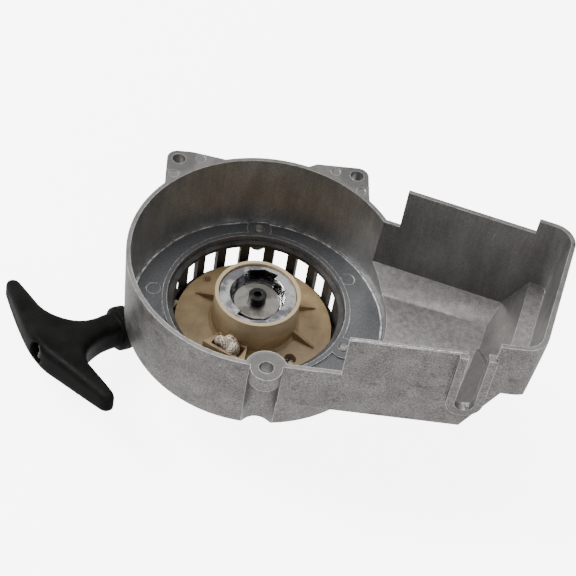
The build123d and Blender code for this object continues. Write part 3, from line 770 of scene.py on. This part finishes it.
def braid_growth() -> Growth:
    """A tree that lays a braided cord along a path: a tube whose skin rises in crossing strands.

    Returns:
        The tree.
    """
    growth = Growth("Braided cord", dict.fromkeys(("Radius", "Step", "Lay", "Strands", "Relief"), "Float"))
    given = growth.given
    curve = growth.put("GeometryNodeMeshToCurve", {"Mesh": given["Geometry"]})
    spacing = {"Curve": curve.outputs[0], "Length": given["Step"]}
    fine = growth.put("GeometryNodeResampleCurve", spacing, mode="LENGTH")
    spline = growth.put("GeometryNodeSplineParameter").outputs
    along = growth.put("GeometryNodeCaptureAttribute")
    along.capture_items.new("FLOAT", "Along")
    growth.tree.links.new(fine.outputs[0], along.inputs["Geometry"])
    growth.tree.links.new(spline["Length"], along.inputs["Along"])
    ring = growth.put("GeometryNodeCurvePrimitiveCircle", {"Resolution": 24, "Radius": given["Radius"]})
    around = growth.put("GeometryNodeCaptureAttribute")
    around.capture_items.new("FLOAT", "Around")
    growth.tree.links.new(ring.outputs[0], around.inputs["Geometry"])
    growth.tree.links.new(spline["Factor"], around.inputs["Around"])
    tube = growth.put(
        "GeometryNodeCurveToMesh",
        {"Curve": along.outputs["Geometry"], "Profile Curve": around.outputs["Geometry"], "Fill Caps": True},
    )
    turn = growth.times(around.outputs["Around"], given["Strands"])
    lay = growth.math("DIVIDE", along.outputs["Along"], given["Lay"])
    crossing = [
        growth.math("ABSOLUTE", growth.math("SINE", growth.times(growth.math(way, turn, lay), math.pi)))
        for way in ("ADD", "SUBTRACT")
    ]
    braid = growth.math("POWER", growth.times(*crossing), 0.6)
    kept = growth.put(
        "GeometryNodeStoreNamedAttribute",
        {"Geometry": tube.outputs[0], "Name": "braid", "Value": braid},
        data_type="FLOAT", domain="POINT",
    )
    depth = growth.times(growth.math("SUBTRACT", braid, 1.0), given["Relief"])
    rise = growth.put("ShaderNodeVectorMath", operation="SCALE")
    growth.tree.links.new(growth.put("GeometryNodeInputNormal").outputs[0], rise.inputs[0])
    growth.tree.links.new(depth, rise.inputs["Scale"])
    skin_node = growth.put("GeometryNodeSetPosition", {"Geometry": kept.outputs[0], "Offset": rise.outputs[0]})
    growth.close(skin_node.outputs[0])
    return growth


def crumb_growth() -> Growth:
    """A tree that strews torn flakes of casting flash along an edge.

    Returns:
        The tree.
    """
    growth = Growth("Casting flash", {"Step": "Float", "Flake": "Vector", "Seed": "Int"})
    given = growth.given
    curve = growth.put("GeometryNodeMeshToCurve", {"Mesh": given["Geometry"]})
    spacing = {"Curve": curve.outputs[0], "Length": given["Step"]}
    fine = growth.put("GeometryNodeResampleCurve", spacing, mode="LENGTH")
    flake = growth.put("GeometryNodeMeshIcoSphere", {"Radius": 1.0, "Subdivisions": 2})
    size = growth.put(
        "FunctionNodeRandomValue", {0: (0.25, 0.35, 0.1), 1: (1.0, 1.0, 1.0), "Seed": given["Seed"]},
        data_type="FLOAT_VECTOR",
    )
    turn = growth.put(
        "FunctionNodeRandomValue", {0: (-0.5, -0.4, -0.3), 1: (0.5, 0.4, 0.3), "Seed": given["Seed"]},
        data_type="FLOAT_VECTOR",
    )
    scale = growth.vector("MULTIPLY", size.outputs[0], given["Flake"])
    strewn = growth.put(
        "GeometryNodeInstanceOnPoints",
        {"Points": fine.outputs[0], "Instance": flake.outputs[0], "Scale": scale.outputs[0]},
    )
    euler = growth.put("FunctionNodeEulerToRotation", {0: turn.outputs[0]})
    turned = growth.put(
        "GeometryNodeRotateInstances", {"Instances": strewn.outputs[0], "Rotation": euler.outputs[0]}
    )
    growth.close(turned.outputs[0])
    return growth


def thread_growth() -> Growth:
    """A tree that stands the turns of a screw thread at each fixing round an axis.

    Returns:
        The tree.
    """
    growth = Growth("Thread ends", {"Turns": "Int", "Pitch": "Float", "Thread Radius": "Float"})
    given = growth.given
    size = {"Resolution": 32, "Radius": given["Thread Radius"]}
    circle = growth.put("GeometryNodeCurvePrimitiveCircle", size)
    ridge = growth.put(
        "GeometryNodeCurvePrimitiveCircle",
        {"Resolution": 6, "Radius": growth.times(given["Pitch"], 0.42)},
    )
    sweep = {"Curve": circle.outputs[0], "Profile Curve": ridge.outputs[0]}
    coil = growth.put("GeometryNodeCurveToMesh", sweep)
    rise = growth.put("ShaderNodeCombineXYZ", {2: given["Pitch"]})
    stack = growth.put("GeometryNodeMeshLine", {"Count": given["Turns"], "Offset": rise.outputs[0]})
    thread = growth.put(
        "GeometryNodeInstanceOnPoints", {"Points": stack.outputs[0], "Instance": coil.outputs[0]}
    )
    spread = growth.put(
        "GeometryNodeInstanceOnPoints", {"Points": given["Geometry"], "Instance": thread.outputs[0]}
    )
    growth.close(spread.outputs[0])
    return growth


def spiral_growth() -> Growth:
    """A tree that winds a flat spring strip in an even spiral.

    Returns:
        The tree.
    """
    sizes = ("Turns", "Inner Radius", "Outer Radius", "Strip", "Width")
    growth = Growth("Spiral strip", dict.fromkeys(sizes, "Float"))
    given = growth.given
    spiral = growth.put(
        "GeometryNodeCurveSpiral",
        {
            "Resolution": 48,
            "Rotations": given["Turns"],
            "Start Radius": given["Inner Radius"],
            "End Radius": given["Outer Radius"],
            "Height": 0.0,
        },
    )
    sides = {"Width": given["Width"], "Height": given["Strip"]}
    section = growth.put("GeometryNodeCurvePrimitiveQuadrilateral", sides)
    strip = growth.put(
        "GeometryNodeCurveToMesh",
        {"Curve": spiral.outputs[0], "Profile Curve": section.outputs[0], "Fill Caps": True},
    )
    placed = growth.put(
        "GeometryNodeInstanceOnPoints", {"Points": given["Geometry"], "Instance": strip.outputs[0]}
    )
    growth.close(placed.outputs[0], smooth=False)
    return growth


def keep(obj: Piece, body: Body, slot: Slot, *replaced: str) -> Piece:
    """Gives a finished piece its body, and hides what it stands for.

    Args:
        obj: the piece.
        body: what it rides on.
        slot: the record's material slot; not used.
        replaced: the CAD nodes it stands for.

    Returns:
        The piece.
    """
    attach(obj, body.value)
    if replaced:
        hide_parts(*replaced)
    log.info("%-28s %7d faces on %s", obj.name, len(obj.data.polygons), body.value)
    return obj


def at(x: float, y: float, z: float) -> Vector:
    """Turns a point in millimetres into metres.

    Args:
        x: along the ears, towards the duct.
        y: from the third ear towards the pair.
        z: up the pulley's axis.

    Returns:
        The point.
    """
    return Vector((x, y, z)) * MM


def ring_points(radius: float, height: float, angles: Sequence[float]) -> list[Vector]:
    """Points round the pulley's axis.

    Args:
        radius: in millimetres.
        height: in millimetres.
        angles: in degrees from +X.

    Returns:
        The points.
    """
    return [
        at(radius * math.cos(math.radians(angle)), radius * math.sin(math.radians(angle)), height)
        for angle in angles
    ]


# ---- sub-assemblies ----


@dataclass
class ShroudCasting:
    """The cast fan shroud, with torn flash on the edge of its raised front wall."""

    finishes: Finishes
    flash_from: Colour = (30.5, -60.4, 82.4)
    flash_to: Colour = (70.6, -62.2, 82.4)
    flash_step: float = 0.7
    flake: Colour = (1.2, 0.55, 0.7)
    seed: int = 7

    def build(self) -> None:
        """Builds the shroud and its flash."""
        shroud = skin("shroud_housing", "fan_shroud", self.finishes.casting, CAST_CREASE)
        keep(shroud, Body.CASE, Slot.CASTING, "shroud_housing")
        name = "flash_on_the_raised_wall"
        edge = path_mesh(name, [at(*self.flash_from), at(*self.flash_to)])
        values = {
            "Step": self.flash_step * MM,
            "Flake": tuple(part * MM for part in self.flake),
            "Seed": self.seed,
            "Material": self.finishes.flash,
        }
        keep(crumb_growth().grow(name, edge, values), Body.CASE, Slot.CASTING)


@dataclass
class StarterCase:
    """The dished case under the shroud, its screws and its spring cover."""

    finishes: Finishes
    screw_r: float = 40.6
    screw_angles: tuple[float, ...] = (90.0, 210.0, 330.0)
    thread_from: float = 28.3
    thread_r: float = 1.86
    thread_pitch: float = 0.4
    thread_turns: int = 3

    def build(self) -> None:
        """Builds the case and what is fixed to it."""
        dish = skin("starter_case", "starter_case_dish", self.finishes.dish, CAST_CREASE)
        keep(dish, Body.CASE, Slot.DISH, "starter_case")
        zinc = self.finishes.zinc
        for node, name in (
            ("case_washers", "case_screw_washers"),
            ("case_screws", "case_screws"),
            ("spring_cover", "spring_cover"),
            ("spring_cover_screws", "spring_cover_screws"),
        ):
            keep(skin(node, name, zinc), Body.CASE, Slot.ZINC, node)
        points = ring_points(self.screw_r, self.thread_from, self.screw_angles)
        base = bpy.data.meshes.new("thread places")
        base.from_pydata([tuple(point) for point in points], [], [])
        values = {
            "Turns": self.thread_turns,
            "Pitch": self.thread_pitch * MM,
            "Thread Radius": self.thread_r * MM,
            "Material": zinc,
        }
        keep(thread_growth().grow("thread_ends", base, values), Body.CASE, Slot.ZINC)


@dataclass
class CentreFittings:
    """The post that the pulley turns on, its washers and its cap screw."""

    finishes: Finishes
    turned_edge: float = 0.12

    def build(self) -> None:
        """Builds the fittings."""
        for node, name, material, slot in (
            ("centre_post", "centre_post", self.finishes.zinc, Slot.ZINC),
            ("thrust_washer", "thrust_washer", self.finishes.zinc, Slot.ZINC),
            ("retaining_washer", "retaining_washer", self.finishes.washer, Slot.ZINC),
            ("centre_screw", "cap_screw", self.finishes.black_screw, Slot.BLACK_SCREW),
        ):
            keep(skin(node, name, material, edge=self.turned_edge), Body.CASE, slot, node)


@dataclass
class RecoilSpring:
    """The flat spiral spring in its well, and the pin that holds its end."""

    finishes: Finishes
    turns: float = 9.0
    inner_r: float = 10.2
    outer_r: float = 24.1
    strip: float = 0.5
    width: float = 5.0
    middle_z: float = 5.1

    def build(self) -> None:
        """Builds the spring and its pin."""
        base = bpy.data.meshes.new("spring place")
        base.from_pydata([(0.0, 0.0, self.middle_z * MM)], [], [])
        values = {
            "Turns": self.turns,
            "Inner Radius": self.inner_r * MM,
            "Outer Radius": self.outer_r * MM,
            "Strip": self.strip * MM,
            "Width": self.width * MM,
            "Material": self.finishes.spring,
        }
        spring = spiral_growth().grow("recoil_spring", base, values)
        keep(spring, Body.CASE, Slot.SPRING, "recoil_spring")
        pin = skin("spring_anchor_pin", "spring_anchor_pin", self.finishes.spring)
        keep(pin, Body.CASE, Slot.SPRING, "spring_anchor_pin")


@dataclass
class RopePulley:
    """The moulded pulley with its bush and its ratchet cup."""

    finishes: Finishes
    moulded_edge: float = 0.25
    cup_crease: float = 30.0
    cup_edge: float = 0.2

    def build(self) -> None:
        """Builds the pulley and what turns with it."""
        pulley = skin("rope_pulley", "rope_pulley", self.finishes.pulley, CAST_CREASE, self.moulded_edge)
        keep(pulley, Body.PULLEY, Slot.TAN, "rope_pulley")
        bush = skin("pulley_bush", "pulley_bush", self.finishes.bronze)
        keep(bush, Body.PULLEY, Slot.BRONZE, "pulley_bush")
        cup = skin("drive_cup", "ratchet_cup", self.finishes.cup, self.cup_crease, self.cup_edge)
        keep(cup, Body.PULLEY, Slot.CUP, "drive_cup")


@dataclass
class PullDirection:
    """Where the rope leaves the pulley, turns in its guide and pulls the handle."""

    lead_angle: float = 220.0
    wind_r: float = 28.0
    rope_z: float = 12.15
    bend_at: float = 40.0
    pull_angle: float = 211.0
    pull_rise: float = 10.0
    roll: float = 13.5
    arm: float = 44.6
    reach: float = 40.0
    sweep: float = 6.0
    thin_by: float = 0.42
    lean_by: float = 3.4
    lean_from: float = 6.0
    lean_over: float = 22.0
    lean_width: float = 15.0
    arms_from: float = 22.0
    arms_over: float = 8.0
    thin_up: float = 0.8

    def __post_init__(self) -> None:
        """Works out the directions."""
        lead, turn, rise = (math.radians(part) for part in (self.lead_angle, self.pull_angle, self.pull_rise))
        self.lead = Vector((math.cos(lead), math.sin(lead), 0.0))
        self.leave = Vector((self.lead.y, -self.lead.x, 0.0)) * self.wind_r + Vector((0.0, 0.0, self.rope_z))
        self.bend = self.leave + self.lead * self.bend_at
        self.pull = Vector((math.cos(turn) * math.cos(rise), math.sin(turn) * math.cos(rise), math.sin(rise)))
        level = Vector((-math.sin(turn), math.cos(turn), 0.0))
        roll = math.radians(self.roll)
        self.across = level * math.cos(roll) + self.pull.cross(level) * math.sin(roll)
        self.up = self.pull.cross(self.across)

    def taper(self, obj: Piece) -> None:
        """Thins the bar's arms towards their tips, about the bar's own middle line.

        Args:
            obj: the grip.
        """
        for vertex in obj.data.vertices:
            place = vertex.co / MM - self.bend
            out = min(abs(place.dot(self.across)) / self.arm, 1.0)
            middle = self.reach - self.sweep * out
            thin = 1.0 - self.thin_by * out * out
            along, rise = place.dot(self.pull), place.dot(self.up)
            near = min(max((along - self.arms_from) / self.arms_over, 0.0), 1.0)
            shift = self.pull * ((along - middle) * (thin - 1.0) * near)
            shift += self.up * (rise * (thin - 1.0) * self.thin_up * near)
            vertex.co += shift * MM

    def lean(self, obj: Piece) -> Piece:
        """Sets the grip's neck and the knot's seat a little to one side of the bar, as moulded.

        Args:
            obj: the piece to shape.

        Returns:
            The same piece.
        """
        for vertex in obj.data.vertices:
            place = vertex.co / MM - self.bend
            part = min(max((place.dot(self.pull) - self.lean_from) / self.lean_over, 0.0), 1.0)
            part *= part * (3 - 2 * part)
            part *= math.exp(-((place.dot(self.across) / self.lean_width) ** 2))
            vertex.co += self.across * (part * self.lean_by * MM)
        return obj

    def on_lead(self, distance: float) -> Vector:
        """A point on the rope inside the case.

        Args:
            distance: from where it leaves the pulley.

        Returns:
            The point.
        """
        return (self.leave + self.lead * distance) * MM

    def on_pull(self, distance: float) -> Vector:
        """A point on the rope beyond its bend.

        Args:
            distance: from the bend.

        Returns:
            The point.
        """
        return (self.bend + self.pull * distance) * MM


@dataclass
class StarterRope:
    """The braided rope: its coil, knots, run through the guide and stretch to the handle."""

    finishes: Finishes
    way: PullDirection
    rope_r: float = 1.5
    coil_in_r: float = 20.1
    pitch: float = 3.1
    half_turns: int = 6
    lay: float = 2.6
    relief: float = 0.34
    knot_at: Colour = (-10.16, -17.57, 20.2)
    knot_turn: float = 240.5
    knot_half: Colour = (2.2, 4.3, 2.7)
    fat_rope_r: float = 1.9
    tail_knot_half: Colour = (1.9, 1.9, 1.9)
    tail_knot_at: float = 41.6
    knot_rope_r: float = 1.4
    stretch_from: float = 0.4
    stretch_to: float = 8.4
    travel: float = 440.0
    tail_to: float = 39.6
    lead_from: float = 18.0
    strands: float = 8.0
    half_turn_points: int = 48
    knot_points: int = 96
    run_points: int = 6

    def __post_init__(self) -> None:
        """Makes the rope's tree once."""
        self.braid = braid_growth()

    def lay_cord(self, name: str, points: Sequence[Vector], radius: float, step: float, lay: float) -> Piece:
        """Braided cord along a path.

        Args:
            name: the piece's name.
            points: its path.
            radius: its radius in millimetres.
            step: spacing of its rings in millimetres.
            lay: length of one crossing in millimetres.

        Returns:
            The piece.
        """
        values = {
            "Radius": radius * MM,
            "Step": step * MM,
            "Lay": lay * MM,
            "Strands": self.strands,
            "Relief": self.relief * MM,
            "Material": self.finishes.rope,
        }
        return self.braid.grow(name, path_mesh(name, points), values)

    def coil_path(self) -> list[Vector]:
        """The coil's centre line: half circles, each a little larger than the last.

        Returns:
            The path.
        """
        points = []
        for half in range(self.half_turns):
            radius = self.coil_in_r + self.pitch / 2 * half
            middle = 0.0 if half % 2 == 0 else -self.pitch / 2
            for part in range(self.half_turn_points):
                angle = math.pi * (half % 2 + part / self.half_turn_points)
                points.append(at(middle + radius * math.cos(angle), radius * math.sin(angle), self.way.rope_z))
        return points

    def knot_path(self, centre: Vector, axes: Sequence[Vector], half: Colour) -> list[Vector]:
        """A closed overhand knot's centre line.

        Args:
            centre: its middle.
            axes: three unit directions.
            half: half sizes along them.

        Returns:
            The path.
        """
        points = []
        for part in range(self.knot_points + 1):
            angle = math.tau * part / self.knot_points
            shape = (
                (math.sin(angle) + 2 * math.sin(2 * angle)) / 3,
                (math.cos(angle) - 2 * math.cos(2 * angle)) / 3,
                -math.sin(3 * angle),
            )
            offset = sum((axis * (size * value) for axis, size, value in zip(axes, half, shape)), Vector())
            points.append(centre + offset * MM)
        return points

    def run_path(self) -> list[Vector]:
        """The rope from the coil through its guide, eased at the bend.

        Returns:
            The path.
        """
        control = [
            self.way.on_lead(self.lead_from),
            self.way.on_lead(self.way.bend_at - 2.0),
            self.way.on_pull(0.0),
            self.way.on_pull(self.stretch_from + 1.6),
        ]
        points = []
        for first, second in zip(control, control[1:]):
            points += [first.lerp(second, part / self.run_points) for part in range(self.run_points)]
        return points + [control[-1]]

    def build(self) -> None:
        """Builds the rope's pieces."""
        coil = self.lay_cord("rope_coil", self.coil_path(), self.rope_r, 0.5, self.lay)
        keep(coil, Body.PULLEY, Slot.ROPE, "rope_coil")
        turn = math.radians(self.knot_turn)
        axes = (
            Vector((math.cos(turn), math.sin(turn), 0.0)),
            Vector((-math.sin(turn), math.cos(turn), 0.0)),
            Vector((0.0, 0.0, 1.0)),
        )
        path = self.knot_path(at(*self.knot_at), axes, self.knot_half)
        knot = self.lay_cord("rope_knot_in_the_pulley", path, self.fat_rope_r, 0.2, 1.3)
        keep(knot, Body.PULLEY, Slot.ROPE, "rope_end_knot")
        run = self.lay_cord("rope_in_the_guide", self.run_path(), self.rope_r, 0.3, self.lay)
        keep(run, Body.CASE, Slot.ROPE, "rope_lead")
        tail_points = [self.way.on_pull(self.stretch_to - 1.0), self.way.on_pull(self.tail_to)]
        tail = self.lay_cord("rope_in_the_handle", tail_points, self.rope_r, 0.3, self.lay)
        keep(self.way.lean(tail), Body.HANDLE, Slot.ROPE, "rope_tail")
        axes = (self.way.pull, self.way.across, self.way.up)
        path = self.knot_path(self.way.on_pull(self.tail_knot_at), axes, self.tail_knot_half)
        end = self.lay_cord("rope_knot_in_the_handle", path, self.knot_rope_r, 0.25, 1.9)
        # the knot sits deep in the handle, so its cord is coloured near black as painted shade
        end.data.materials.clear()
        end.data.materials.append(self.finishes.rope_in_painted_shade)
        keep(self.way.lean(end), Body.HANDLE, Slot.ROPE, "handle_knot")
        self.build_stretch()

    def build_stretch(self) -> None:
        """Builds the stretch that pays out between the guide and the handle."""
        length = self.stretch_to - self.stretch_from
        squeeze = length / (length + self.travel)
        points = [self.way.on_pull(self.stretch_from), self.way.on_pull(self.stretch_to)]
        stretch = self.lay_cord("rope_that_pays_out", points, self.rope_r - 0.05, 0.9 * squeeze, self.lay * squeeze)
        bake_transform(stretch)
        log.info("%-28s %7d faces between case and handle", stretch.name, len(stretch.data.polygons))


@dataclass
class PullHandle:
    """The moulded T grip with its seat washer, and the rope's metal guide in the case."""

    finishes: Finishes
    way: PullDirection
    voxel: float = 0.5
    smooth_steps: int = 10

    def build(self) -> None:
        """Builds the grip, its washer and the guide."""
        grip = skin("handle_grip", "pull_handle", self.finishes.grip)
        remesh = grip.modifiers.new("one skin", "REMESH")
        remesh.mode = "VOXEL"
        remesh.voxel_size = self.voxel * MM
        remesh.use_smooth_shade = True
        relax = grip.modifiers.new("moulded edges", "SMOOTH")
        relax.factor = 0.5
        relax.iterations = self.smooth_steps
        settle(grip)
        self.way.taper(grip)
        self.way.lean(grip)
        grip.data.materials.clear()
        grip.data.materials.append(self.finishes.grip)
        keep(grip, Body.HANDLE, Slot.BLACK, "handle_grip")
        washer = self.way.lean(skin("handle_knot_washer", "knot_washer", self.finishes.zinc))
        keep(washer, Body.HANDLE, Slot.ZINC, "handle_knot_washer")
        keep(skin("rope_guide", "rope_guide", self.finishes.zinc), Body.CASE, Slot.ZINC, "rope_guide")


@dataclass
class Studio:
    """A pale floor, soft lights and the camera."""

    finishes: Finishes
    target: Colour = (12.75, 9.42, 28.0)
    eye: Colour = (-39.3, -400.6, 490.9)
    roll: float = 10.65
    lens: float = 94.6
    floor_half: float = 3.0
    horizon: float = 0.2
    zenith: float = 0.66
    below: float = 1.25
    below_from: float = -0.35
    panel_count: float = 5.0
    panels: tuple[float, float] = (0.35, 1.25)
    lamps: tuple[tuple[str, Colour, float, float], ...] = (
        ("upper left soft box", (-0.75, 0.25, 0.85), 0.45, 15.0),
        ("overhead soft box", (0.1, 0.3, 1.1), 0.6, 6.0),
        ("front fill", (0.2, -1.0, 0.6), 0.5, 3.0),
    )

    def light(self, name: str, place: Colour, size: float, power: float) -> None:
        """A square soft box that faces the object.

        Args:
            name: its name.
            place: where it stands.
            size: its side.
            power: its power, in watts.
        """
        data = bpy.data.lights.new(name, "AREA")
        data.size = size
        data.energy = power
        lamp = stand(name, data)
        lamp.location = place
        lamp.rotation_euler = (at(*self.target) - Vector(place)).to_track_quat("-Z", "Y").to_euler()

    def build(self) -> None:
        """Builds the floor, the lights, the world and the camera."""
        half = self.floor_half
        mesh = bpy.data.meshes.new("floor")
        corners = [(-half, -half, 0), (half, -half, 0), (half, half, 0), (-half, half, 0)]
        mesh.from_pydata(corners, [], [(0, 1, 2, 3)])
        mesh.materials.append(self.finishes.floor)
        floor = stand("floor", mesh)
        # the room's lower half, not the bright paper, throws light up on the object
        floor.visible_diffuse = False
        floor.visible_glossy = False
        world = bpy.data.worlds.new("soft white room")
        bpy.context.scene.world = world
        world.use_nodes = True
        room = Graph(world.node_tree)
        way = room.put("ShaderNodeTexCoord").outputs["Generated"]
        parts = room.put("ShaderNodeSeparateXYZ", {0: way}).outputs
        sky = room.span(parts["Z"], 0.05, 0.9, self.horizon, self.zenith)
        turn = room.math("ARCTAN2", parts["Y"], parts["X"])
        wave = room.math("SINE", room.times(turn, self.panel_count))
        sky = room.times(sky, room.span(wave, -0.5, 0.5, *self.panels))
        bounce = room.span(parts["Z"], 0.0, self.below_from, 0.0, self.below)
        sky = room.math("ADD", sky, bounce)
        white = room.put("ShaderNodeBackground", {"Color": (1.0, 1.0, 1.0, 1.0), "Strength": sky})
        room.put("ShaderNodeOutputWorld", {"Surface": white.outputs[0]})
        for lamp in self.lamps:
            self.light(*lamp)
        self.aim_camera()

    def aim_camera(self) -> None:
        """Places the camera, rolled to the object's lie."""
        target, eye = at(*self.target), at(*self.eye)
        back = (eye - target).normalized()
        right = Vector((0.0, 0.0, 1.0)).cross(back).normalized()
        up = back.cross(right)
        turn = math.radians(self.roll)
        side = right * math.cos(turn) + up * math.sin(turn)
        head = up * math.cos(turn) - right * math.sin(turn)
        data = bpy.data.cameras.new("camera")
        data.lens = self.lens
        data.sensor_width = 36.0
        data.clip_start = 0.01
        data.clip_end = 20.0
        camera = stand("camera", data)
        turned = Matrix((side, head, back)).transposed().to_4x4()
        camera.matrix_world = Matrix.Translation(eye) @ turned
        bpy.context.scene.camera = camera


def main() -> None:
    """Builds the whole object and its studio."""
    logging.basicConfig(level=logging.INFO, format="%(message)s")
    finishes = Finishes()
    way = PullDirection()
    for part in (
        ShroudCasting(finishes),
        StarterCase(finishes),
        CentreFittings(finishes),
        RecoilSpring(finishes),
        RopePulley(finishes),
        StarterRope(finishes, way),
        PullHandle(finishes, way),
        Studio(finishes),
    ):
        log.info("building %s", type(part).__name__)
        part.build()


if __name__ == "__main__":
    main()
